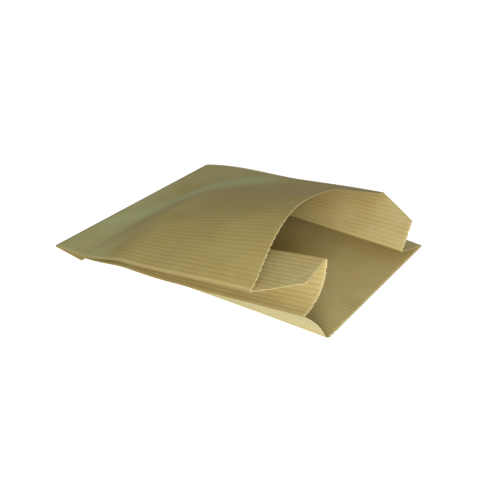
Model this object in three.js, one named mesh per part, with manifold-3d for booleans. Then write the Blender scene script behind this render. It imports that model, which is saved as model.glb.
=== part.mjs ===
import * as THREE from 'three';
import Module from 'manifold-3d';

// A kraft paper pastry bag with side gussets, folded from one sheet. It lies on its back, flat at the
// folded end and gaping at the mouth. Millimetres. While it is shaped, x runs from the folded end to
// the mouth, y from the near side to the far side, and z up from the table.

// The sheet as it was cut and folded
const FACE_WIDTH = 180;
const BAG_LENGTH = 225;
const GUSSET_HALF = 40;
const MOUTH_STEP = 30;
const CORNER_CUT = 16;
const FLAP_LENGTH = 30;

// The paper, and the room that a pressed fold keeps between its two layers
const PAPER = 0.2;
const LAYER_GAP = 0.2;
const FLAP_THICKNESS = 0.6;
const FLAP_INSET = 0.4;
const END_WALL = 0.4;

// The knife that cut the mouth
const TOOTH_PITCH = 2.5;
const TOOTH_DEPTH = 0.9;

// How each panel stands at the mouth, and the power by which it gets there from the flat end: below
// 1 it opens early and above 1 late. It parts from its neighbours gently over the first stretch
// beyond the flap. Slopes are in degrees.
const CURL_WIDTH = { atMouth: 51, power: 0.5, partsOver: 45 };
const CURL_SLOPE = { atMouth: 58, power: 0.45, partsOver: 45 };
const NEAR_LOWER_SLOPE = { atMouth: 36, power: 0.8, partsOver: 70 };
const NEAR_LOWER_BEND = { atMouth: 32, power: 0.8, partsOver: 70 };
const NEAR_UPPER_SLOPE = { atMouth: 11.5, power: 1.2, partsOver: 75 };
const FAR_LOWER_SLOPE = { atMouth: 20, power: 0.45, partsOver: 45 };
const FAR_UPPER_SLOPE = { atMouth: 49, power: 1.36, partsOver: 45 };

// The curl rises within the first share of its width and then bends back a little
const CURL_RISE = 0.22;
const CURL_RELAX = 0.24;

// The front panel's crown: where its top lies across the width, and how slim it is
const CROWN_PLACE = 0.434;
const CROWN_SHARPNESS = 1.12;

// The back comes down from the flap to the table over this length
const SETTLE_LENGTH = 25;

// Steps of the mesh along and across each panel
const ROWS_FLAT = 2;
const ROWS_OPEN = 20;
const FINE_STEP = 2.5;
const BACK_CURL_STEPS = 12;
const BACK_FLAT_STEPS = 4;
const LOWER_STEPS = 5;
const UPPER_STEPS = 2;
const CORNER_STEPS = 2;
const FRONT_STEPS = 18;

const FOLD = PAPER + LAYER_GAP;
const radians = THREE.MathUtils.degToRad;
const smooth = (value) => THREE.MathUtils.smoothstep(value, 0, 1);
const share = (value, from, to) => THREE.MathUtils.clamp((value - from) / (to - from), 0, 1);

// Evenly spaced distances, both ends included
function spread(from, to, steps) {
  return Array.from({ length: steps + 1 }, (_, k) => from + (to - from) * k / steps);
}

// Distances of the mesh lines across each panel, in the order that the sheet runs round the bag
const curlReach = CURL_WIDTH.atMouth + 4;
const backLines = [
  ...spread(0, curlReach, BACK_CURL_STEPS),
  ...spread(curlReach, FACE_WIDTH, BACK_FLAT_STEPS).slice(1),
];
const lowerLines = spread(0, GUSSET_HALF, LOWER_STEPS);
const upperLines = [
  ...spread(0, GUSSET_HALF - CORNER_CUT, UPPER_STEPS),
  ...spread(GUSSET_HALF - CORNER_CUT, GUSSET_HALF, CORNER_STEPS).slice(1),
];
const frontLines = spread(0, FACE_WIDTH, FRONT_STEPS);

// How far a panel has turned at a distance q along the sheet
function turnAt(turn, q) {
  const along = share(q, FLAP_LENGTH, BAG_LENGTH);
  const parting = smooth(share(q, FLAP_LENGTH, FLAP_LENGTH + turn.partsOver));
  return turn.atMouth * along ** turn.power * parting;
}

// A strip of paper laid off from a start point in the y z plane, at a slope for each step
function layOff(start, lines, slopeAt) {
  const length = lines[lines.length - 1];
  const points = [start];
  for (let k = 1; k < lines.length; k += 1) {
    const slope = slopeAt((lines[k] + lines[k - 1]) / 2 / length);
    const step = lines[k] - lines[k - 1];
    const last = points[k - 1];
    points.push([last[0] + step * Math.cos(slope), last[1] + step * Math.sin(slope)]);
  }
  return points;
}

// The short rounded strip of a fold, halfway between the slopes of the panels that it joins
function foldOver(start, slopeIn, slopeOut) {
  const slope = (slopeIn + slopeOut) / 2;
  return [start[0] + FOLD * Math.cos(slope), start[1] + FOLD * Math.sin(slope)];
}

// The back panel is flat on the table, apart from its near margin, which curls up off it
function backPanel(curlWidth, curlSlope) {
  const slopeAt = (along) => {
    const risen = smooth(share(along, 0, CURL_RISE));
    return curlSlope * risen * (1 - CURL_RELAX * share(along, CURL_RISE, 1));
  };
  const points = backLines.map((line) => {
    if (line >= curlWidth) return [line, 0];
    const steps = 24;
    const step = (curlWidth - line) / steps;
    const point = [curlWidth, 0];
    for (let k = 0; k < steps; k += 1) {
      const slope = slopeAt((k + 0.5) * step / curlWidth);
      point[0] -= step * Math.cos(slope);
      point[1] += step * Math.sin(slope);
    }
    return point;
  });
  return { points, endSlope: Math.PI - slopeAt(1) };
}

// The front panel's curve between its two folds, at a given height of crown
function crownCurve(start, end, height, samples) {
  const skew = Math.log(0.5) / Math.log(CROWN_PLACE);
  return spread(0, 1, samples).map((s) => {
    const rise = Math.abs(Math.sin(Math.PI * s ** skew)) ** CROWN_SHARPNESS;
    return [
      start[0] + (end[0] - start[0]) * s,
      start[1] + (end[1] - start[1]) * s + height * rise,
    ];
  });
}

function runLengths(points) {
  const lengths = [0];
  for (let k = 1; k < points.length; k += 1) {
    const step = Math.hypot(points[k][0] - points[k - 1][0], points[k][1] - points[k - 1][1]);
    lengths.push(lengths[k - 1] + step);
  }
  return lengths;
}

// The crown rises until the curve holds the whole width of the panel
function frontPanel(start, end) {
  const samples = 72;
  let low = 0;
  let high = FACE_WIDTH;
  for (let round = 0; round < 40; round += 1) {
    const height = (low + high) / 2;
    const lengths = runLengths(crownCurve(start, end, height, samples));
    if (lengths[samples] < FACE_WIDTH) low = height;
    else high = height;
  }
  const curve = crownCurve(start, end, (low + high) / 2, samples);
  const lengths = runLengths(curve);
  return frontLines.map((line) => {
    const target = line / FACE_WIDTH * lengths[samples];
    let k = 1;
    while (k < samples && lengths[k] < target) k += 1;
    const part = (target - lengths[k - 1]) / (lengths[k] - lengths[k - 1]);
    return [
      curve[k - 1][0] + (curve[k][0] - curve[k - 1][0]) * part,
      curve[k - 1][1] + (curve[k][1] - curve[k - 1][1]) * part,
    ];
  });
}

// The whole section at a distance q along the sheet: back corner, near gusset in and out, front,
// far gusset in and out, and the back again. Each panel keeps its own width at every section.
function sectionAt(q) {
  const opened = (turn) => turnAt(turn, q);
  const curl = backPanel(opened(CURL_WIDTH), radians(opened(CURL_SLOPE)));

  const nearLower = radians(opened(NEAR_LOWER_SLOPE));
  const nearBend = radians(opened(NEAR_LOWER_BEND));
  const nearUpper = Math.PI + radians(opened(NEAR_UPPER_SLOPE));
  const nearLowerStart = foldOver(curl.points[0], curl.endSlope, nearLower - nearBend);
  const lower = layOff(nearLowerStart, lowerLines, (s) => nearLower + nearBend * (2 * s - 1));
  const upper = layOff(foldOver(lower.at(-1), nearLower + nearBend, nearUpper), upperLines, () => nearUpper);

  const farLower = Math.PI - radians(opened(FAR_LOWER_SLOPE));
  const farUpper = radians(opened(FAR_UPPER_SLOPE));
  const farLowerPoints = layOff(foldOver([FACE_WIDTH, 0], 0, farLower), lowerLines, () => farLower);
  const farUpperStart = foldOver(farLowerPoints.at(-1), farLower, farUpper);
  const farUpperPoints = layOff(farUpperStart, upperLines, () => farUpper);

  const frontStart = foldOver(upper.at(-1), nearUpper, 0);
  const frontEnd = foldOver(farUpperPoints.at(-1), farUpper, Math.PI);
  return [
    curl.points[0],
    ...lower,
    ...upper,
    ...frontPanel(frontStart, frontEnd),
    ...farUpperPoints.reverse(),
    ...farLowerPoints.reverse(),
    ...curl.points.slice(1).reverse(),
  ];
}

// Where each mesh line lies round the sheet, where it is a corner, and where the mouth is cut on it
function ringLines() {
  const lines = [{ at: 0, cut: BAG_LENGTH, corner: true, toothed: false }];
  const add = (distances, cutAt, toothedAt) => {
    const from = lines.at(-1).at + FOLD;
    distances.forEach((distance, k) => {
      const corner = k === 0 || k === distances.length - 1;
      lines.push({ at: from + distance, cut: cutAt(distance), corner, toothed: toothedAt(distance) });
    });
    lines.at(-1).toothed = false;
  };
  const full = () => BAG_LENGTH;
  const short = () => BAG_LENGTH - MOUTH_STEP;
  const slanted = (distance) => BAG_LENGTH - MOUTH_STEP * share(distance, GUSSET_HALF - CORNER_CUT, GUSSET_HALF);
  const straightPart = (distance) => distance < GUSSET_HALF - CORNER_CUT - 0.01;
  const fromFront = (distances) => distances.map((distance) => GUSSET_HALF - distance).reverse();
  add(lowerLines, full, () => true);
  add(upperLines, slanted, straightPart);
  add(frontLines, short, () => true);
  add(fromFront(upperLines), (d) => slanted(GUSSET_HALF - d), (d) => d > CORNER_CUT - 0.01);
  add(fromFront(lowerLines), full, () => true);
  add(fromFront(backLines).map((d) => d + FACE_WIDTH - GUSSET_HALF), full, () => true);
  const circumference = lines.pop().at;
  return { lines, circumference };
}

// Fine sections along the sheet. The paper doesn't stretch, so what a line gains sideways and
// upwards it loses in its run along x.
const { lines: ring, circumference } = ringLines();
const fineRows = Math.round(BAG_LENGTH / FINE_STEP);
const fineStep = BAG_LENGTH / fineRows;
const SHORTEST_RUN = 0.3;
const sheet = [];
for (let row = 0; row <= fineRows; row += 1) {
  const q = row * fineStep;
  const lift = PAPER / 2 + FLAP_THICKNESS * (1 - smooth(share(q, FLAP_LENGTH, FLAP_LENGTH + SETTLE_LENGTH)));
  const section = sectionAt(q);
  sheet.push(section.map(([y, z], j) => {
    if (row === 0) return new THREE.Vector3(0, y, z + lift);
    const before = sheet[row - 1][j];
    const sideways = Math.hypot(y - before.y, z + lift - before.z);
    const run = Math.sqrt(Math.max(fineStep ** 2 - sideways ** 2, (SHORTEST_RUN * fineStep) ** 2));
    return new THREE.Vector3(before.x + run, y, z + lift);
  }));
}

// A point of the sheet's middle at a distance q along mesh line j
function sheetPoint(q, j) {
  const row = Math.min(Math.floor(q / fineStep), fineRows - 1);
  return sheet[row][j].clone().lerp(sheet[row + 1][j], q / fineStep - row);
}

// Rows of the mesh: even in the flat end, then even up to the cut, whichever cut the line has
const stations = [
  ...spread(0, 1, ROWS_FLAT).map((s) => () => s * FLAP_LENGTH),
  ...spread(0, 1, ROWS_OPEN).slice(1).map((s) => (cut) => FLAP_LENGTH + s * (cut - TOOTH_DEPTH - FLAP_LENGTH)),
  (cut) => cut,
];
const middle = stations.map((station) => ring.map((line, j) => sheetPoint(station(line.cut), j)));

// The two faces of the paper, half a thickness either side of its middle, mitred at the folds
function paperFace(side) {
  return middle.map((row, i) => row.map((point, j) => {
    const ahead = middle[Math.min(i + 1, middle.length - 1)][j];
    const behind = middle[Math.max(i - 1, 0)][j];
    const along = ahead.clone().sub(behind).normalize();
    const next = row[(j + 1) % row.length].clone().sub(point);
    const last = point.clone().sub(row[(j + row.length - 1) % row.length]);
    const normalNext = along.clone().cross(next).normalize();
    const normalLast = along.clone().cross(last).normalize();
    const normal = normalNext.clone().add(normalLast).normalize();
    const mitre = 1 / Math.max(normal.dot(normalNext), 0.6);
    return point.clone().addScaledVector(normal, side * PAPER / 2 * mitre);
  }));
}

const positions = [];
const triangles = [];
function vertex(point) {
  positions.push(point.x, point.y, point.z);
  return positions.length / 3 - 1;
}
function face(a, b, c, outward) {
  triangles.push(...(outward ? [a, b, c] : [a, c, b]));
}

// Joins two rows of points round the bag, row by row or where one row has more points than the other
function stitch(rowA, rowB, outward) {
  let a = 0;
  let b = 0;
  while (a < rowA.length || b < rowB.length) {
    const nextA = a < rowA.length ? (rowA[a + 1]?.at ?? circumference) : Infinity;
    const nextB = b < rowB.length ? (rowB[b + 1]?.at ?? circumference) : Infinity;
    const here = rowA[a % rowA.length].id;
    const there = rowB[b % rowB.length].id;
    if (nextB <= nextA) {
      face(here, there, rowB[(b + 1) % rowB.length].id, outward);
      b += 1;
    } else {
      face(here, there, rowA[(a + 1) % rowA.length].id, outward);
      a += 1;
    }
  }
}

// The mouth's saw-toothed edge: valleys on the last row and a tip between each two
function mouthEdge(valleyRow, tipRow) {
  const valleys = [];
  const tips = [];
  ring.forEach((line, j) => {
    const next = (j + 1) % ring.length;
    const width = (ring[j + 1]?.at ?? circumference) - line.at;
    const teeth = line.toothed ? Math.max(1, Math.round(width / TOOTH_PITCH)) : 0;
    for (let k = 0; k < Math.max(teeth, 1); k += 1) {
      const along = k / Math.max(teeth, 1);
      const point = valleyRow[j].clone().lerp(valleyRow[next], along);
      valleys.push({ at: line.at + width * along, id: vertex(point) });
      const tip = tipRow[j].clone().lerp(tipRow[next], (k + 0.5) / Math.max(teeth, 1));
      tips.push(teeth > 0 ? vertex(tip) : null);
    }
  });
  return { valleys, tips };
}

// One face of the sheet, from the folded end to the toothed mouth
function buildFace(side) {
  const outward = side > 0;
  const points = paperFace(side);
  if (!outward) points[0].forEach((point) => { point.x += END_WALL; });
  const rows = points.slice(0, -2).map((row, i) => {
    const kept = row.map((point, j) => ({ point, line: ring[j] })).filter(({ line }) => i > 0 || line.corner);
    return kept.map(({ point, line }) => ({ at: line.at, id: vertex(point) }));
  });
  const edge = mouthEdge(points.at(-2), points.at(-1));
  rows.push(edge.valleys);
  for (let i = 1; i < rows.length; i += 1) stitch(rows[i - 1], rows[i], outward);
  edge.valleys.forEach((valley, k) => {
    const next = edge.valleys[(k + 1) % edge.valleys.length];
    if (edge.tips[k] !== null) face(valley.id, edge.tips[k], next.id, outward);
  });
  const rim = edge.valleys.flatMap((valley, k) => (edge.tips[k] === null ? [valley.id] : [valley.id, edge.tips[k]]));
  return { rim, end: rows[0].map((entry) => entry.id) };
}

// Closes the folded end: the outer face looks back along x, and the inner one into the bag
function closeEnd(ids, outward) {
  const outline = ids.map((id) => new THREE.Vector2(positions[id * 3 + 1], positions[id * 3 + 2]));
  const turn = Math.sign(THREE.ShapeUtils.area(outline));
  const ordered = turn < 0 ? ids.slice().reverse() : ids;
  const contour = turn < 0 ? outline.slice().reverse() : outline;
  THREE.ShapeUtils.triangulateShape(contour, []).forEach(([a, b, c]) => {
    face(ordered[a], ordered[b], ordered[c], !outward);
  });
}

const outer = buildFace(1);
const inner = buildFace(-1);
outer.rim.forEach((id, k) => {
  const next = (k + 1) % outer.rim.length;
  face(id, inner.rim[k], inner.rim[next], true);
  face(id, inner.rim[next], outer.rim[next], true);
});
closeEnd(outer.end, true);
closeEnd(inner.end, false);

// The bottom: all layers turn under the back in one round fold and lie glued to it as a flap
const stackTop = FLAP_THICKNESS + 3 * FOLD + PAPER / 2;
const flapProfile = new THREE.Shape();
flapProfile.moveTo(END_WALL / 2, stackTop);
flapProfile.lineTo(0, stackTop);
flapProfile.absarc(0, stackTop / 2, stackTop / 2, Math.PI / 2, Math.PI * 1.5, false);
flapProfile.lineTo(FLAP_LENGTH, 0);
flapProfile.lineTo(FLAP_LENGTH, FLAP_THICKNESS + PAPER / 2);
flapProfile.lineTo(END_WALL / 2, FLAP_THICKNESS + PAPER / 2);
flapProfile.closePath();
const flapGeometry = new THREE.ExtrudeGeometry(flapProfile, {
  depth: FACE_WIDTH - 2 * FLAP_INSET,
  bevelEnabled: false,
  curveSegments: 6,
});
flapGeometry.rotateX(Math.PI / 2);
flapGeometry.translate(0, FACE_WIDTH - FLAP_INSET, 0);

// The sheet and its glued flap become one solid
const wasm = await Module();
wasm.setup();

function toSolid(vertexList, triangleList) {
  const mesh = new wasm.Mesh({
    numProp: 3,
    vertProperties: new Float32Array(vertexList),
    triVerts: new Uint32Array(triangleList),
  });
  mesh.merge();
  return new wasm.Manifold(mesh);
}

function soup(geometry) {
  const flat = geometry.index ? geometry.toNonIndexed() : geometry;
  const list = Array.from(flat.attributes.position.array);
  return toSolid(list, list.slice(0, list.length / 3).map((_, k) => k));
}

const joined = toSolid(positions, triangles).add(soup(flapGeometry)).getMesh();
const bagGeometry = new THREE.BufferGeometry();
bagGeometry.setAttribute('position', new THREE.BufferAttribute(new Float32Array(joined.vertProperties), 3));
bagGeometry.setIndex(new THREE.BufferAttribute(new Uint32Array(joined.triVerts), 1));
bagGeometry.computeBoundingBox();
const box = bagGeometry.boundingBox;
const centre = box.getCenter(new THREE.Vector3());
bagGeometry.translate(-centre.x, -centre.y, -box.min.z);
bagGeometry.computeVertexNormals();

const kraft = new THREE.MeshStandardMaterial({ color: 0xa9855a, roughness: 0.85, metalness: 0 });
const paperBag = new THREE.Mesh(bagGeometry, kraft);
paperBag.name = 'paper_bag';

const bag = new THREE.Group();
bag.add(paperBag);

export default bag;
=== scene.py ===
import math

import bmesh
import bpy
import numpy as np
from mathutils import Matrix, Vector


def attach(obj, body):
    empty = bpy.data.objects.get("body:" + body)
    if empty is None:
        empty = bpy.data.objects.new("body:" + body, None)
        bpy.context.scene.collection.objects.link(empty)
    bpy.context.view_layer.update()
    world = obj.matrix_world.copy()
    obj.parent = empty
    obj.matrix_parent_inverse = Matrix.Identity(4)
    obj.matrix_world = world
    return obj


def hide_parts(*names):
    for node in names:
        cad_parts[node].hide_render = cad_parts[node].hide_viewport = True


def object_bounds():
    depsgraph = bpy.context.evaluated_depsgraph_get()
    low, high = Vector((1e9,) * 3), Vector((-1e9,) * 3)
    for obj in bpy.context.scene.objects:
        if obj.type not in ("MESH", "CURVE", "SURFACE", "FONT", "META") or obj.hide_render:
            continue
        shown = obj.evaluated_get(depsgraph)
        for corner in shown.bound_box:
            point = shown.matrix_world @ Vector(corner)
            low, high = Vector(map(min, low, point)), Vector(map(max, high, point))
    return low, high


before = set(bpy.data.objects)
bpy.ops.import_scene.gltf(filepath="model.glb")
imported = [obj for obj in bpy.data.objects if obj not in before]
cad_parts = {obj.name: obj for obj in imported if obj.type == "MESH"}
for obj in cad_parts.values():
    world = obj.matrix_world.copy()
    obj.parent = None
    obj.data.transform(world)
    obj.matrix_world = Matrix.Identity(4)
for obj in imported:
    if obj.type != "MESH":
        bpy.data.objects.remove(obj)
cad_low, cad_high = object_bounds()


# Camera
# The bag is seen from in front of its near side, looking down over the mouth towards the folded end.
CAMERA_PLACE = (0.26394, -0.32892, 0.28172)
CAMERA_TURN = 38.39
CAMERA_DOWN = 33.37
CAMERA_LENS = 47.83
SENSOR_WIDTH = 36.0

bpy.ops.object.camera_add(location=CAMERA_PLACE)
camera = bpy.context.object
camera.name = "camera"
camera.rotation_euler = (math.radians(90 - CAMERA_DOWN), 0, math.radians(CAMERA_TURN))
camera.data.lens = CAMERA_LENS
camera.data.sensor_width = SENSOR_WIDTH
bpy.context.scene.camera = camera


# The sheet of kraft paper
# One sheet, folded into a back, a front and two side gussets of two halves each. The bag lies on its
# back. It is pinched flat at the folded end and gapes at its saw-cut mouth, where the front is cut
# MOUTH_STEP short of the back and the gussets slant between the two over CORNER_CUT. Each fold is a
# half round, FOLD across between the middles of its layers. END_WALL closes the sheet at its folded end.
FACE_WIDTH = 0.180
BAG_LENGTH = 0.225
GUSSET_HALF = 0.040
MOUTH_STEP = 0.030
CORNER_CUT = 0.016
FLAP_LENGTH = 0.030
PAPER = 0.0002
FOLD = 0.0004
FOLD_LENGTH = FOLD * math.pi / 2
FLAP_THICKNESS = 0.0006
END_WALL = 0.0002
TOOTH_PITCH = 0.0022
TOOTH_DEPTH = 0.0008

# Each panel's stand at the mouth, the power by which it gets there from the folded end, and the
# length over which it parts from its neighbours. Slopes are in degrees. PARTING_EASE is how gently
# they part.
CURL_WIDTH = (0.0469, 0.695, 0.080)
CURL_SLOPE = (61.84, 0.448, 0.080)
NEAR_LOWER_SLOPE = (40.27, 1.114, 0.080)
NEAR_LOWER_BEND = (37.5, 1.114, 0.080)
NEAR_UPPER_SLOPE = (12.2, 0.776, 0.080)
FAR_LOWER_SLOPE = (20.27, 0.80, 0.001)
FAR_UPPER_SLOPE = (49.5, 1.416, 0.001)
PARTING_EASE = 1.5

# The curl has its full slope after the first share of its width, and loses a share of it by the edge
CURL_RISE = 0.234
CURL_RELAX = 0.299

# Where the front's crown stands across the bag, as a share from the near side, and how sharp it is
CROWN_PLACE = 0.433
CROWN_SHARPNESS = 1.193

# The folded end springs up off its flap to a crest, and the back then settles onto the table
FLAP_SPRING = 0.0028
CREST_FROM_FOLD = 0.040
SETTLE_LENGTH = 0.076

# The loose paper waves a little where it stands free of its folds and of the table. Each wave has a
# length along the sheet and one round it.
WAVE_HEIGHT = 0.0005
WAVE_LENGTHS = ((0.071, 0.043), (0.047, -0.066), (0.112, 0.085))
FREE_OF_FOLD = 0.012
FREE_FROM_HEIGHT = 0.002
FREE_OVER_HEIGHT = 0.010

# Mesh lines across the curl and a margin beside it, the rest of the back, a lower gusset half, an
# upper one before and within its cut corner, and the front
CURL_LINES = 36
CURL_MARGIN = 0.004
FLAT_LINES = 26
GUSSET_LINES = 21
WHOLE_LINES = 13
CORNER_LINES = 9
FRONT_LINES = 121

# Rows along the sheet, and steps in a fold, in the curl and in the crown
FINE_ROWS = 226
SETTLE_ROWS = 60
MOUTH_ROWS = 58
FOLD_STEPS = 4
CURL_STEPS = 32
CROWN_STEPS = 241
CROWN_ROUNDS = 44

# The least that a row goes along the bag, as a share of its length, and the least cosine of a mitre
SHORTEST_RUN = 0.3
MITRE_LIMIT = 0.6
ALMOST_NOTHING = 1e-12
LINE_TOLERANCE = 1e-6


def smooth(value):
    """A share from 0 to 1 that starts and ends gently."""
    value = np.clip(value, 0, 1)
    return value * value * (3 - 2 * value)


def share(value, low, high):
    """How far a value has gone from low to high, from 0 to 1."""
    return np.clip((value - low) / (high - low), 0, 1)


def turned(turn, q):
    """How a panel stands at each distance q along the sheet."""
    at_mouth, power, parts_over = turn
    parted = share(q, 0, parts_over)
    eased = (PARTING_EASE + 1) * parted ** PARTING_EASE - PARTING_EASE * parted ** (PARTING_EASE + 1)
    return at_mouth * share(q, 0, BAG_LENGTH) ** power * eased


def last(strip):
    """The end of a strip, where the next one starts."""
    return strip[0][:, -1], strip[1][:, -1]


def without_last(fold):
    """A fold's own points. Its last one is the next panel's first."""
    return fold[0][:, :-1], fold[1][:, :-1]


def straight(slope):
    """The slope of a flat strip, the same all the way across it."""
    return lambda across: slope[:, None] + 0 * across


def bowed(slope, bend):
    """The slope of a strip that bends evenly, from slope less bend to slope plus bend."""
    return lambda across: slope[:, None] + bend[:, None] * (2 * across - 1)


def lay_off(start, lines, slope_at):
    """A strip laid off in the y z plane from a start point, at a slope for each step, for all rows."""
    middles = (lines[1:] + lines[:-1]) / 2 / lines[-1]
    steps = np.diff(lines)
    slopes = slope_at(middles[None, :])
    start_y, start_z = start[0][:, None], start[1][:, None]
    y = np.concatenate([start_y, start_y + np.cumsum(np.cos(slopes) * steps, 1)], 1)
    z = np.concatenate([start_z, start_z + np.cumsum(np.sin(slopes) * steps, 1)], 1)
    return y, z


def fold_over(start, slope_in, slope_out):
    """The round strip of a fold: points after the panel's end, up to the next panel's start."""
    y, z = start
    points_y, points_z = [], []
    step = FOLD_LENGTH / FOLD_STEPS
    for k in range(FOLD_STEPS):
        slope = slope_in + (slope_out - slope_in) * (k + 0.5) / FOLD_STEPS
        y = y + np.cos(slope) * step
        z = z + np.sin(slope) * step
        points_y.append(y)
        points_z.append(z)
    return np.stack(points_y, 1), np.stack(points_z, 1)


# Distances of the mesh lines across each panel
curl_reach = CURL_WIDTH[0] + CURL_MARGIN
back_lines = np.concatenate([
    np.linspace(0, curl_reach, CURL_LINES),
    np.linspace(curl_reach, FACE_WIDTH, FLAT_LINES)[1:],
])
lower_lines = np.linspace(0, GUSSET_HALF, GUSSET_LINES)
upper_lines = np.concatenate([
    np.linspace(0, GUSSET_HALF - CORNER_CUT, WHOLE_LINES),
    np.linspace(GUSSET_HALF - CORNER_CUT, GUSSET_HALF, CORNER_LINES)[1:],
])
front_lines = np.linspace(0, FACE_WIDTH, FRONT_LINES)


def back_panel(curl_width, curl_slope):
    """Flat, apart from the near margin, which curls up. Also the slope at its near edge."""
    def slope_at(along):
        risen = smooth(along / CURL_RISE)
        return curl_slope[:, None] * risen * (1 - CURL_RELAX * share(along, CURL_RISE, 1))

    width = np.maximum(curl_width, ALMOST_NOTHING)
    y = np.zeros((len(width), len(back_lines)))
    z = np.zeros_like(y)
    steps = (np.arange(CURL_STEPS) + 0.5) / CURL_STEPS
    for k, line in enumerate(back_lines):
        reach = np.maximum(curl_width - line, 0)
        slopes = slope_at(steps[None, :] * (reach / width)[:, None])
        y[:, k] = np.maximum(curl_width, line) - np.cos(slopes).mean(1) * reach
        z[:, k] = np.sin(slopes).mean(1) * reach
    edge_slope = math.pi - slope_at(np.ones((1, 1)))[:, 0]
    return y, z, edge_slope


def crown_curve(start, end, height, s):
    """The curve from start to end with a crown of a given height, at the shares s of its span."""
    skew = math.log(0.5) / math.log(CROWN_PLACE)
    crown = np.abs(np.sin(math.pi * s ** skew)) ** CROWN_SHARPNESS
    y = start[0][:, None] + (end[0] - start[0])[:, None] * s
    z = start[1][:, None] + (end[1] - start[1])[:, None] * s + height[:, None] * crown
    return y, z


def front_panel(start, end):
    """The crown rises until the curve holds the whole width of the panel."""
    s = np.linspace(0, 1, CROWN_STEPS)
    low = np.zeros_like(start[0])
    high = np.full_like(start[0], FACE_WIDTH)
    for _ in range(CROWN_ROUNDS):
        height = (low + high) / 2
        y, z = crown_curve(start, end, height, s)
        length = np.hypot(np.diff(y), np.diff(z)).sum(1)
        low = np.where(length < FACE_WIDTH, height, low)
        high = np.where(length < FACE_WIDTH, high, height)
    y, z = crown_curve(start, end, (low + high) / 2, s)
    run = np.concatenate([np.zeros((len(y), 1)), np.cumsum(np.hypot(np.diff(y), np.diff(z)), 1)], 1)
    places = front_lines / FACE_WIDTH * run[:, -1:]
    panel_y = np.stack([np.interp(places[i], run[i], y[i]) for i in range(len(y))])
    panel_z = np.stack([np.interp(places[i], run[i], z[i]) for i in range(len(y))])
    return panel_y, panel_z


def sections(q):
    """The whole section at each distance q along the sheet, panel by panel round the bag."""
    def slope_of(turn):
        return np.radians(turned(turn, q))

    level = np.zeros_like(q)
    back_y, back_z, edge_slope = back_panel(turned(CURL_WIDTH, q), slope_of(CURL_SLOPE))
    near_edge = (back_y[:, 0], back_z[:, 0])
    far_edge = (np.full_like(q, FACE_WIDTH), level)

    lower_slope = slope_of(NEAR_LOWER_SLOPE)
    lower_bend = slope_of(NEAR_LOWER_BEND)
    upper_slope = math.pi + slope_of(NEAR_UPPER_SLOPE)
    near_back_fold = fold_over(near_edge, edge_slope, lower_slope - lower_bend)
    near_lower = lay_off(last(near_back_fold), lower_lines, bowed(lower_slope, lower_bend))
    near_inner_fold = fold_over(last(near_lower), lower_slope + lower_bend, upper_slope)
    near_upper = lay_off(last(near_inner_fold), upper_lines, straight(upper_slope))
    near_front_fold = fold_over(last(near_upper), upper_slope, level)

    far_lower_slope = math.pi - slope_of(FAR_LOWER_SLOPE)
    far_upper_slope = slope_of(FAR_UPPER_SLOPE)
    far_back_fold = fold_over(far_edge, level, far_lower_slope)
    far_lower = lay_off(last(far_back_fold), lower_lines, straight(far_lower_slope))
    far_inner_fold = fold_over(last(far_lower), far_lower_slope, far_upper_slope)
    far_upper = lay_off(last(far_inner_fold), upper_lines, straight(far_upper_slope))
    far_front_fold = fold_over(last(far_upper), far_upper_slope, np.full_like(q, math.pi))

    front = front_panel(last(near_front_fold), last(far_front_fold))
    near_side = [without_last(near_back_fold), near_lower]
    near_side += [without_last(near_inner_fold), near_upper, without_last(near_front_fold)]
    far_side = [without_last(far_front_fold), far_upper]
    far_side += [without_last(far_inner_fold), far_lower, without_last(far_back_fold)]
    far_side = [(y[:, ::-1], z[:, ::-1]) for y, z in far_side]
    first_line = (back_y[:, :1], back_z[:, :1])
    rest_of_back = (back_y[:, :0:-1], back_z[:, :0:-1])
    strips = [first_line, *near_side, front, *far_side, rest_of_back]
    return np.concatenate([y for y, _ in strips], 1), np.concatenate([z for _, z in strips], 1)


def ring_lines():
    """Where each mesh line lies round the sheet, where the mouth is cut on it, and if it is toothed."""
    at, cut, toothed, folds = [0.0], [BAG_LENGTH], [False], []

    def fold():
        start = at[-1]
        folds.append(start + FOLD_LENGTH / 2)
        for k in range(1, FOLD_STEPS):
            at.append(start + FOLD_LENGTH * k / FOLD_STEPS)
            cut.append(cut[-1])
            toothed.append(False)
        return start + FOLD_LENGTH

    def panel(lines, cut_at, toothed_at):
        start = fold()
        for line in lines:
            at.append(start + line)
            cut.append(cut_at(line))
            toothed.append(toothed_at(line))
        toothed[-1] = False

    def slanted(line):
        return BAG_LENGTH - MOUTH_STEP * float(share(line, GUSSET_HALF - CORNER_CUT, GUSSET_HALF))

    def reverse(lines):
        return lines[-1] - lines[::-1]

    corner_from = GUSSET_HALF - CORNER_CUT - LINE_TOLERANCE
    corner_to = CORNER_CUT - LINE_TOLERANCE
    panel(lower_lines, lambda d: BAG_LENGTH, lambda d: True)
    panel(upper_lines, slanted, lambda d: d < corner_from)
    panel(front_lines, lambda d: BAG_LENGTH - MOUTH_STEP, lambda d: True)
    panel(reverse(upper_lines), lambda d: slanted(GUSSET_HALF - d), lambda d: d > corner_to)
    panel(reverse(lower_lines), lambda d: BAG_LENGTH, lambda d: True)
    panel(reverse(back_lines), lambda d: BAG_LENGTH, lambda d: True)
    # The last line is the first one again
    around = at.pop()
    cut.pop()
    toothed.pop()
    toothed[-1] = True
    return np.array(at), np.array(cut), toothed, around, folds


ring_at, ring_cut, ring_toothed, circumference, fold_places = ring_lines()
gap_widths = np.diff(np.append(ring_at, circumference))
fold_distance = np.min([np.abs(ring_at - place) for place in fold_places], 0)

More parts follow.
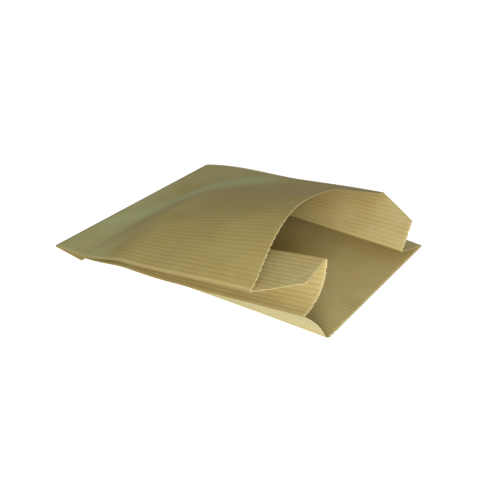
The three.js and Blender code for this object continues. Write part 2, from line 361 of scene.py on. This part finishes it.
# Each mesh line goes along the bag by what is left of its length, so that the paper doesn't stretch
fine_q = np.linspace(0, BAG_LENGTH, FINE_ROWS)
fine_y, fine_z = sections(fine_q)
to_crest = share(fine_q, 0, CREST_FROM_FOLD)
settled = smooth((fine_q - CREST_FROM_FOLD) / SETTLE_LENGTH)
lift = (FLAP_THICKNESS + FLAP_SPRING * to_crest * (2 - to_crest)) * (1 - settled)
fine_z = fine_z + (PAPER / 2 + lift)[:, None]
fine_step = fine_q[1]
sideways = np.diff(fine_y, axis=0) ** 2 + np.diff(fine_z, axis=0) ** 2
run = np.sqrt(np.maximum(fine_step ** 2 - sideways, (SHORTEST_RUN * fine_step) ** 2))
fine_x = np.concatenate([np.zeros((1, fine_y.shape[1])), np.cumsum(run, 0)], 0)
sheet = np.stack([fine_x, fine_y, fine_z], 2)


def on_sheet(q):
    """Middle of the sheet at a distance along it given for each mesh line."""
    row = np.minimum((q / fine_step).astype(int), len(fine_q) - 2)
    part_way = (q / fine_step - row)[:, None]
    columns = np.arange(len(q))
    return sheet[row, columns] * (1 - part_way) + sheet[row + 1, columns] * part_way


def unit(vectors):
    return vectors / np.maximum(np.linalg.norm(vectors, axis=2, keepdims=True), ALMOST_NOTHING)


# The rows of the mesh: to where the bag has settled, on to the teeth, and the tips of the teeth
settled_at = CREST_FROM_FOLD + SETTLE_LENGTH
stations = [np.full_like(ring_cut, settled_at * k / SETTLE_ROWS) for k in range(SETTLE_ROWS + 1)]
for k in range(1, MOUTH_ROWS + 1):
    stations.append(settled_at + (ring_cut - TOOTH_DEPTH - settled_at) * k / MOUTH_ROWS)
stations.append(ring_cut)
middle = np.stack([on_sheet(q) for q in stations])

along = np.gradient(middle, axis=0)
following = np.roll(middle, -1, 1) - middle
leading = middle - np.roll(middle, 1, 1)
normal_next = unit(np.cross(along, following))
normal_last = unit(np.cross(along, leading))
normal = unit(normal_next + normal_last)
mitre = 1 / np.maximum((normal * normal_next).sum(2, keepdims=True), MITRE_LIMIT)

station_q = np.stack(stations)
waves = sum(np.sin(2 * math.pi * (station_q / a + ring_at / b)) for a, b in WAVE_LENGTHS)
waves = waves / len(WAVE_LENGTHS)
free = smooth(fold_distance / FREE_OF_FOLD)
free = free * smooth((middle[:, :, 2] - FREE_FROM_HEIGHT) / FREE_OVER_HEIGHT)
free = free * smooth((station_q - CREST_FROM_FOLD) / SETTLE_LENGTH)
middle = middle + normal * (WAVE_HEIGHT * waves * free)[:, :, None]

# Teeth are shared out over the toothed mesh lines, so that each gap between lines holds a whole number
tooth_counts = []
carried = 0.0
for width, toothed in zip(gap_widths, ring_toothed):
    carried += width / TOOTH_PITCH if toothed else 0
    whole = int(carried + 0.5) if toothed else 0
    tooth_counts.append(whole)
    carried -= whole

verts = []
faces = []
uvs = []
marks = []


def add_vert(point, uv, to_cut, to_fold):
    verts.append(tuple(point))
    uvs.append(uv)
    marks.append((to_cut, to_fold))
    return len(verts) - 1


def add_face(corners, side):
    """A face that looks out on its own side of the paper."""
    faces.append(tuple(corners) if side > 0 else tuple(reversed(corners)))


def build_face(side):
    """One face of the paper, from the folded end to the tips of its teeth. Returns both edges."""
    points = middle + normal * mitre * (side * PAPER / 2)
    if side < 0:
        points[0, :, 0] += END_WALL
    count = len(ring_at)
    rows = []
    for i in range(len(stations) - 2):
        row = []
        for j in range(count):
            to_cut = ring_cut[j] - stations[i][j]
            row.append(add_vert(points[i, j], (stations[i][j], ring_at[j]), to_cut, fold_distance[j]))
        rows.append(row)
    for row, next_row in zip(rows, rows[1:]):
        for j in range(count):
            n = (j + 1) % count
            quad = (row[j], next_row[j], next_row[n], row[n])
            faces.append(quad if side > 0 else (quad[0], quad[3], quad[2], quad[1]))

    # The sheet ends in valleys and tips. A gap without teeth has one valley and no tip.
    valleys, tips, first_valleys = [], [], []
    for j in range(count):
        n = (j + 1) % count
        pieces = max(tooth_counts[j], 1)
        first_valleys.append(len(valleys))
        for k in range(pieces):
            s = k / pieces
            valley = points[-2, j] * (1 - s) + points[-2, n] * s
            valley_uv = (stations[-2][j], ring_at[j] + gap_widths[j] * s)
            valleys.append(add_vert(valley, valley_uv, 0, fold_distance[j]))
            t = (k + 0.5) / pieces
            tip = points[-1, j] * (1 - t) + points[-1, n] * t
            tip_uv = (ring_cut[j], ring_at[j] + gap_widths[j] * t)
            tips.append(add_vert(tip, tip_uv, 0, fold_distance[j]) if tooth_counts[j] else None)
    for j in range(count):
        n = (j + 1) % count
        first = first_valleys[j]
        chain = [valleys[k % len(valleys)] for k in range(first, first + max(tooth_counts[j], 1) + 1)]
        add_face([rows[-1][j], *chain, rows[-1][n]], side)

    rim = []
    for k, valley in enumerate(valleys):
        rim.append(valley)
        if tips[k] is not None:
            add_face((valley, tips[k], valleys[(k + 1) % len(valleys)]), side)
            rim.append(tips[k])
    return rim, rows[0]


outer_rim, outer_end = build_face(1)
inner_rim, inner_end = build_face(-1)
for outer, inner, side in ((outer_rim, inner_rim, 1), (outer_end, inner_end, -1)):
    for k in range(len(outer)):
        n = (k + 1) % len(outer)
        add_face((outer[k], inner[k], inner[n], outer[n]), side)

mesh = bpy.data.meshes.new("paper_bag_sheet")
mesh.from_pydata(verts, [], faces)
uv_layer = mesh.uv_layers.new(name="sheet")
loop_verts = np.empty(len(mesh.loops), dtype=np.int32)
mesh.loops.foreach_get("vertex_index", loop_verts)
uv_layer.data.foreach_set("uv", np.array(uvs)[loop_verts].ravel())
for index, name in enumerate(("cut_distance", "fold_distance")):
    attribute = mesh.attributes.new(name, "FLOAT", "POINT")
    attribute.data.foreach_set("value", np.array(marks)[:, index])
for polygon in mesh.polygons:
    polygon.use_smooth = True
paper_bag = bpy.data.objects.new("paper_bag_sheet", mesh)
bpy.context.collection.objects.link(paper_bag)


# The bottom flap
# All layers of the folded end turn under the back in one round fold and lie on the table as a flap.
# The bag springs up off it, so that the flap's side shows as a thin wedge.
FLAP_INSET = 0.0004
FLAP_ROUND_STEPS = 12
LAYER_GAPS = 3
STACK_TOP = FLAP_THICKNESS + LAYER_GAPS * FOLD + PAPER / 2

# The flap's side view goes round the fold and back along the flap
profile = [(END_WALL / 2, STACK_TOP), (0, STACK_TOP)]
for k in range(1, FLAP_ROUND_STEPS):
    angle = math.pi * k / FLAP_ROUND_STEPS
    profile.append((-STACK_TOP / 2 * math.sin(angle), STACK_TOP / 2 * (1 + math.cos(angle))))
profile += [(0, 0), (FLAP_LENGTH, 0), (FLAP_LENGTH, FLAP_THICKNESS), (END_WALL / 2, FLAP_THICKNESS)]
flap_verts = []
for y in (FLAP_INSET, FACE_WIDTH - FLAP_INSET):
    flap_verts += [(x, y, z) for x, z in profile]
count = len(profile)
flap_faces = [tuple(range(count)), tuple(range(2 * count - 1, count - 1, -1))]
flap_faces += [(k, k + count, (k + 1) % count + count, (k + 1) % count) for k in range(count)]
flap_mesh = bpy.data.meshes.new("bottom_flap")
flap_mesh.from_pydata(flap_verts, [], flap_faces)
flap = bpy.data.objects.new("bottom_flap", flap_mesh)
bpy.context.collection.objects.link(flap)
bm = bmesh.new()
bm.from_mesh(flap_mesh)
bmesh.ops.recalc_face_normals(bm, faces=bm.faces)
uv = bm.loops.layers.uv.new("sheet")
for face in bm.faces:
    for loop in face.loops:
        loop[uv].uv = (loop.vert.co.x, loop.vert.co.y)
bm.to_mesh(flap_mesh)
bm.free()
for name in ("cut_distance", "fold_distance"):
    attribute = flap_mesh.attributes.new(name, "FLOAT", "POINT")
    attribute.data.foreach_set("value", [FLAP_LENGTH - x for x, _, _ in flap_verts])

# Both are set in the frame where the CAD sheet lies: its folded end at the same x, its middle at the same y
sheet_low = np.array(verts).min(0)
sheet_high = np.array(verts).max(0)
shift_x = cad_low.x + STACK_TOP / 2
shift_y = (cad_low.y + cad_high.y) / 2 - (sheet_low[1] + sheet_high[1]) / 2
for piece in (paper_bag, flap):
    for vert in piece.data.vertices:
        vert.co.x += shift_x
        vert.co.y += shift_y


# Kraft paper
# Brown machine-glazed kraft, with fine ribs pressed into it along the length of the bag. It is paler
# along the cut and rubbed on its folds. A greenish cast of reflected light is painted towards the folded
# end, painted shade lies in a band where the front rises, and the curled margin is painted paler with light
# bounced up from the table.
KRAFT = (0.67, 0.54, 0.225, 1)
KRAFT_RIB = (0.54, 0.42, 0.15, 1)
# The colour of a painted greenish cast of reflected light
PAINTED_COOL_CAST = (0.54, 0.61, 0.30, 1)
KRAFT_PALE = (0.76, 0.70, 0.40, 1)
KRAFT_CUT = (0.78, 0.68, 0.36, 1)
# Rubbed tone on the folds, also used as painted shade in the band across the front
KRAFT_RUBBED_AND_SHADE = (0.38, 0.26, 0.085, 1)
KRAFT_FLECK = (0.32, 0.22, 0.08, 1)
FRONT_SHADE = (0.73, 0.71, 0.57, 1)

# Marks on the sheet: two places, each at a distance from the fold and one round the bag, and then the
# mark's width and strength
FRONT_CREASE = ((0.048, 0.091), (0.046, 0.117), 0.0006, 0.3)
DOG_EAR = ((0.214, 0.0675), (0.224, 0.0500), 0.0006, 0.35)
# Painted shade where the front rises from its flat end
PAINTED_SHADE_BAND = ((0.062, 0.094), (0.086, 0.134), 0.013, 0.22)
# A painted greenish cast of reflected light across the far side of the front
COOL_CAST_BAND = ((0.008, 0.130), (0.085, 0.240), 0.034, 0.65)
MARK_FADE = 0.004

# Noise on the sheet: cells per metre along it and round it, and the detail
WANDER_NOISE = ((6, 25), 2)
RIB_NOISE = ((9, 60), 2)
FIBRE_NOISE = ((260, 2600), 3)
MOTTLE_NOISE = ((45, 60), 4)
FLECK_NOISE = ((900, 1500), 1)
COOL_NOISE = ((22, 9), 3)

# Masks: two values, and what the mask gives at the first and at the second
RIB_CREST = (-0.6, 1.0, 0, 1)
RIB_STRENGTH = (0.3, 0.7, 0.3, 0.85)
MOTTLE_TONE = (0.35, 0.75, 0, 0.30)
FIBRE_TONE = (0.40, 0.75, 0, 0.35)
FLECK_TONE = (0.70, 0.78, 0, 0.5)
COOL_END = (0.015, 0.105, 1, 0)
COOL_PATCHES = (0.35, 0.65, 0.10, 0.55)
FOLD_RUB = (0.0002, 0.0011, 0.55, 0)
CUT_TONE = (0.0002, 0.0009, 0.6, 0)
ROUGHNESS = (0.3, 0.7, 0.52, 0.70)
FRONT_MARGIN = 0.004
# How strongly light bounced up from the white table is painted onto the curled margin
CURL_BOUNCE_LIGHT = 0.65

RIB_PITCH = 0.0034
RIB_WANDER = 0.0012
RIB_RELIEF = 0.00003
FIBRE_RELIEF = 0.00003
CREASE_RELIEF = 12
GLOSS = 0.22
LIGHT_THROUGH = 0.10

kraft = bpy.data.materials.new("ribbed_kraft")
kraft.use_nodes = True
nodes = kraft.node_tree.nodes
links = kraft.node_tree.links
nodes.clear()
sheet_uv = nodes.new("ShaderNodeUVMap")
sheet_uv.uv_map = "sheet"
split = nodes.new("ShaderNodeSeparateXYZ")
links.new(sheet_uv.outputs["UV"], split.inputs[0])
along_sheet, round_sheet = split.outputs[0], split.outputs[1]


def calculate(operation, first, second=0):
    node = nodes.new("ShaderNodeMath")
    node.operation = operation
    for socket, value in zip(node.inputs, (first, second)):
        if isinstance(value, (int, float)):
            socket.default_value = value
        else:
            links.new(value, socket)
    return node.outputs[0]


def mask(value, low, high, at_low, at_high):
    """A smooth step from one share to another as the value goes from low to high."""
    node = nodes.new("ShaderNodeMapRange")
    node.interpolation_type = "SMOOTHSTEP"
    links.new(value, node.inputs["Value"])
    for name, setting in (("From Min", low), ("From Max", high), ("To Min", at_low), ("To Max", at_high)):
        node.inputs[name].default_value = setting
    return node.outputs[0]


def blend(factor, first, second, how="MIX"):
    """The first colour goes over to the second one by a factor."""
    node = nodes.new("ShaderNodeMix")
    node.data_type = "RGBA"
    node.blend_type = how
    links.new(factor, node.inputs[0])
    for socket, tone in ((node.inputs[6], first), (node.inputs[7], second)):
        if isinstance(tone, tuple):
            socket.default_value = tone
        else:
            links.new(tone, socket)
    return node.outputs[2]


def noise(cells, detail):
    """Noise on the flat sheet, with its own number of cells per metre along it and round it."""
    spread = nodes.new("ShaderNodeVectorMath")
    spread.operation = "MULTIPLY"
    spread.inputs[1].default_value = (*cells, 1)
    links.new(sheet_uv.outputs["UV"], spread.inputs[0])
    node = nodes.new("ShaderNodeTexNoise")
    node.inputs["Scale"].default_value = 1
    node.inputs["Detail"].default_value = detail
    links.new(spread.outputs[0], node.inputs["Vector"])
    return node.outputs["Fac"]


def line_mark(start, end, width, strength):
    """A soft line on the flat sheet between two places, fading out beyond its ends."""
    length = math.dist(start, end)
    step_q = (end[0] - start[0]) / length
    step_w = (end[1] - start[1]) / length
    from_q = calculate("SUBTRACT", along_sheet, start[0])
    from_w = calculate("SUBTRACT", round_sheet, start[1])
    ahead = calculate("ADD", calculate("MULTIPLY", from_q, step_q), calculate("MULTIPLY", from_w, step_w))
    aside_q = calculate("MULTIPLY", from_q, step_w)
    aside_w = calculate("MULTIPLY", from_w, step_q)
    aside = calculate("ABSOLUTE", calculate("SUBTRACT", aside_q, aside_w))
    across = mask(aside, 0, width, strength, 0)
    begun = mask(ahead, -width - MARK_FADE, MARK_FADE, 0, 1)
    ended = mask(ahead, length - MARK_FADE, length + width + MARK_FADE, 1, 0)
    return calculate("MULTIPLY", across, calculate("MULTIPLY", begun, ended))


def own_value(name):
    """A value that each point of the mesh carries."""
    node = nodes.new("ShaderNodeAttribute")
    node.attribute_name = name
    return node.outputs["Fac"]


def relief_of(height, distance):
    """A bump that stands up by a distance where the height is 1."""
    node = nodes.new("ShaderNodeBump")
    node.inputs["Distance"].default_value = distance
    links.new(height, node.inputs["Height"])
    return node


# Ribs run along the sheet and wander a little
wander = calculate("MULTIPLY", noise(*WANDER_NOISE), RIB_WANDER)
rib_place = calculate("ADD", round_sheet, wander)
rib_wave = calculate("SINE", calculate("MULTIPLY", rib_place, 2 * math.pi / RIB_PITCH))
rib_tone = calculate("MULTIPLY", mask(rib_wave, *RIB_CREST), mask(noise(*RIB_NOISE), *RIB_STRENGTH))

fibres = noise(*FIBRE_NOISE)
mottle = noise(*MOTTLE_NOISE)
colour = blend(rib_tone, KRAFT, KRAFT_RIB)
colour = blend(mask(mottle, *MOTTLE_TONE), colour, KRAFT_PALE)
colour = blend(mask(fibres, *FIBRE_TONE), colour, KRAFT_RIB)

# The front panel is a shade darker
front_from, front_to = fold_places[2:4]
front_begun = mask(round_sheet, front_from, front_from + FRONT_MARGIN, 0, 1)
front_ended = mask(round_sheet, front_to - FRONT_MARGIN, front_to, 1, 0)
colour = blend(calculate("MULTIPLY", front_begun, front_ended), colour, FRONT_SHADE, "MULTIPLY")

# A painted greenish cast of reflected light: in patches towards the folded end, and in a band on the front
painted_cool_cast = calculate("MULTIPLY", mask(along_sheet, *COOL_END), mask(noise(*COOL_NOISE), *COOL_PATCHES))
colour = blend(calculate("MAXIMUM", painted_cool_cast, line_mark(*COOL_CAST_BAND)), colour, PAINTED_COOL_CAST)
# Painted shade in a band where the front rises from its flat end
colour = blend(line_mark(*PAINTED_SHADE_BAND), colour, KRAFT_RUBBED_AND_SHADE)
creases = calculate("ADD", line_mark(*FRONT_CREASE), line_mark(*DOG_EAR))
colour = blend(creases, colour, KRAFT_PALE)
# Painted light bounced up from the white table makes the curled margin paler
curl_from = circumference - CURL_WIDTH[0]
curl_to = circumference - CURL_WIDTH[0] / 2
colour = blend(mask(round_sheet, curl_from, curl_to, 0, CURL_BOUNCE_LIGHT), colour, KRAFT_PALE)
colour = blend(mask(own_value("fold_distance"), *FOLD_RUB), colour, KRAFT_RUBBED_AND_SHADE)
colour = blend(mask(noise(*FLECK_NOISE), *FLECK_TONE), colour, KRAFT_FLECK)
colour = blend(mask(own_value("cut_distance"), *CUT_TONE), colour, KRAFT_CUT)

ribs_and_creases = calculate("ADD", rib_wave, calculate("MULTIPLY", creases, CREASE_RELIEF))
rib_relief = relief_of(calculate("MULTIPLY", ribs_and_creases, -1), RIB_RELIEF)
fibre_relief = relief_of(calculate("ADD", fibres, mottle), FIBRE_RELIEF)
links.new(rib_relief.outputs[0], fibre_relief.inputs["Normal"])

# The thin sheet lets a little light through
paper = nodes.new("ShaderNodeBsdfPrincipled")
links.new(colour, paper.inputs["Base Color"])
links.new(mask(mottle, *ROUGHNESS), paper.inputs["Roughness"])
links.new(fibre_relief.outputs[0], paper.inputs["Normal"])
paper.inputs["Specular IOR Level"].default_value = GLOSS
glow = nodes.new("ShaderNodeBsdfTranslucent")
links.new(colour, glow.inputs["Color"])
through = nodes.new("ShaderNodeMixShader")
through.inputs[0].default_value = LIGHT_THROUGH
links.new(paper.outputs[0], through.inputs[1])
links.new(glow.outputs[0], through.inputs[2])
output = nodes.new("ShaderNodeOutputMaterial")
links.new(through.outputs[0], output.inputs[0])

for piece in (paper_bag, flap):
    piece.data.materials.append(kraft)
    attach(piece, "root")
    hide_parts("paper_bag")


# Floor
# A plain white table top. The camera sees it lit up to white, with the bag's soft shadow left on it.
FLOOR_SIZE = 6
FLOOR_DROP = 0.0002
FLOOR_WHITE = (0.85, 0.85, 0.85, 1)
FLOOR_GLOW = 0.72

bpy.ops.mesh.primitive_plane_add(size=FLOOR_SIZE, location=(0, 0, -FLOOR_DROP))
floor = bpy.context.object
floor.name = "floor"
table = bpy.data.materials.new("white_table")
table.use_nodes = True
table_nodes = table.node_tree.nodes
table_links = table.node_tree.links
table_nodes.clear()
matt = table_nodes.new("ShaderNodeBsdfDiffuse")
matt.inputs["Color"].default_value = FLOOR_WHITE
lit = table_nodes.new("ShaderNodeEmission")
lit.inputs["Strength"].default_value = FLOOR_GLOW
both = table_nodes.new("ShaderNodeAddShader")
table_links.new(matt.outputs[0], both.inputs[0])
table_links.new(lit.outputs[0], both.inputs[1])
seen = table_nodes.new("ShaderNodeLightPath")
choice = table_nodes.new("ShaderNodeMixShader")
table_links.new(seen.outputs["Is Camera Ray"], choice.inputs[0])
table_links.new(matt.outputs[0], choice.inputs[1])
table_links.new(both.outputs[0], choice.inputs[2])
surface = table_nodes.new("ShaderNodeOutputMaterial")
table_links.new(choice.outputs[0], surface.inputs[0])
floor.data.materials.append(table)


# Lights
# A broad soft lamp stands low on the near side, towards the mouth, in an even white room. The camera
# sees plain white behind the table.
KEY_PLACE = (0.70, -0.92, 0.40)
KEY_TARGET = (0.0, 0.0, 0.02)
KEY_SIZE = 0.5
KEY_POWER = 11
WHITE = (1, 1, 1, 1)
ROOM_STRENGTH = 0.42

key_data = bpy.data.lights.new("key_light", "AREA")
key_data.size = KEY_SIZE
key_data.energy = KEY_POWER
key = bpy.data.objects.new("key_light", key_data)
bpy.context.collection.objects.link(key)
key.location = KEY_PLACE
key.rotation_euler = (Vector(KEY_TARGET) - Vector(KEY_PLACE)).to_track_quat("-Z", "Y").to_euler()
world = bpy.data.worlds.new("surround")
bpy.context.scene.world = world
world.use_nodes = True
world_nodes = world.node_tree.nodes
world_links = world.node_tree.links
room = world_nodes["Background"]
room.inputs["Color"].default_value = WHITE
room.inputs["Strength"].default_value = ROOM_STRENGTH
backdrop = world_nodes.new("ShaderNodeBackground")
backdrop.inputs["Color"].default_value = WHITE
rays = world_nodes.new("ShaderNodeLightPath")
either = world_nodes.new("ShaderNodeMixShader")
world_links.new(rays.outputs["Is Camera Ray"], either.inputs[0])
world_links.new(room.outputs[0], either.inputs[1])
world_links.new(backdrop.outputs[0], either.inputs[2])
world_links.new(either.outputs[0], world_nodes["World Output"].inputs["Surface"])

bpy.context.scene.view_settings.view_transform = "Standard"
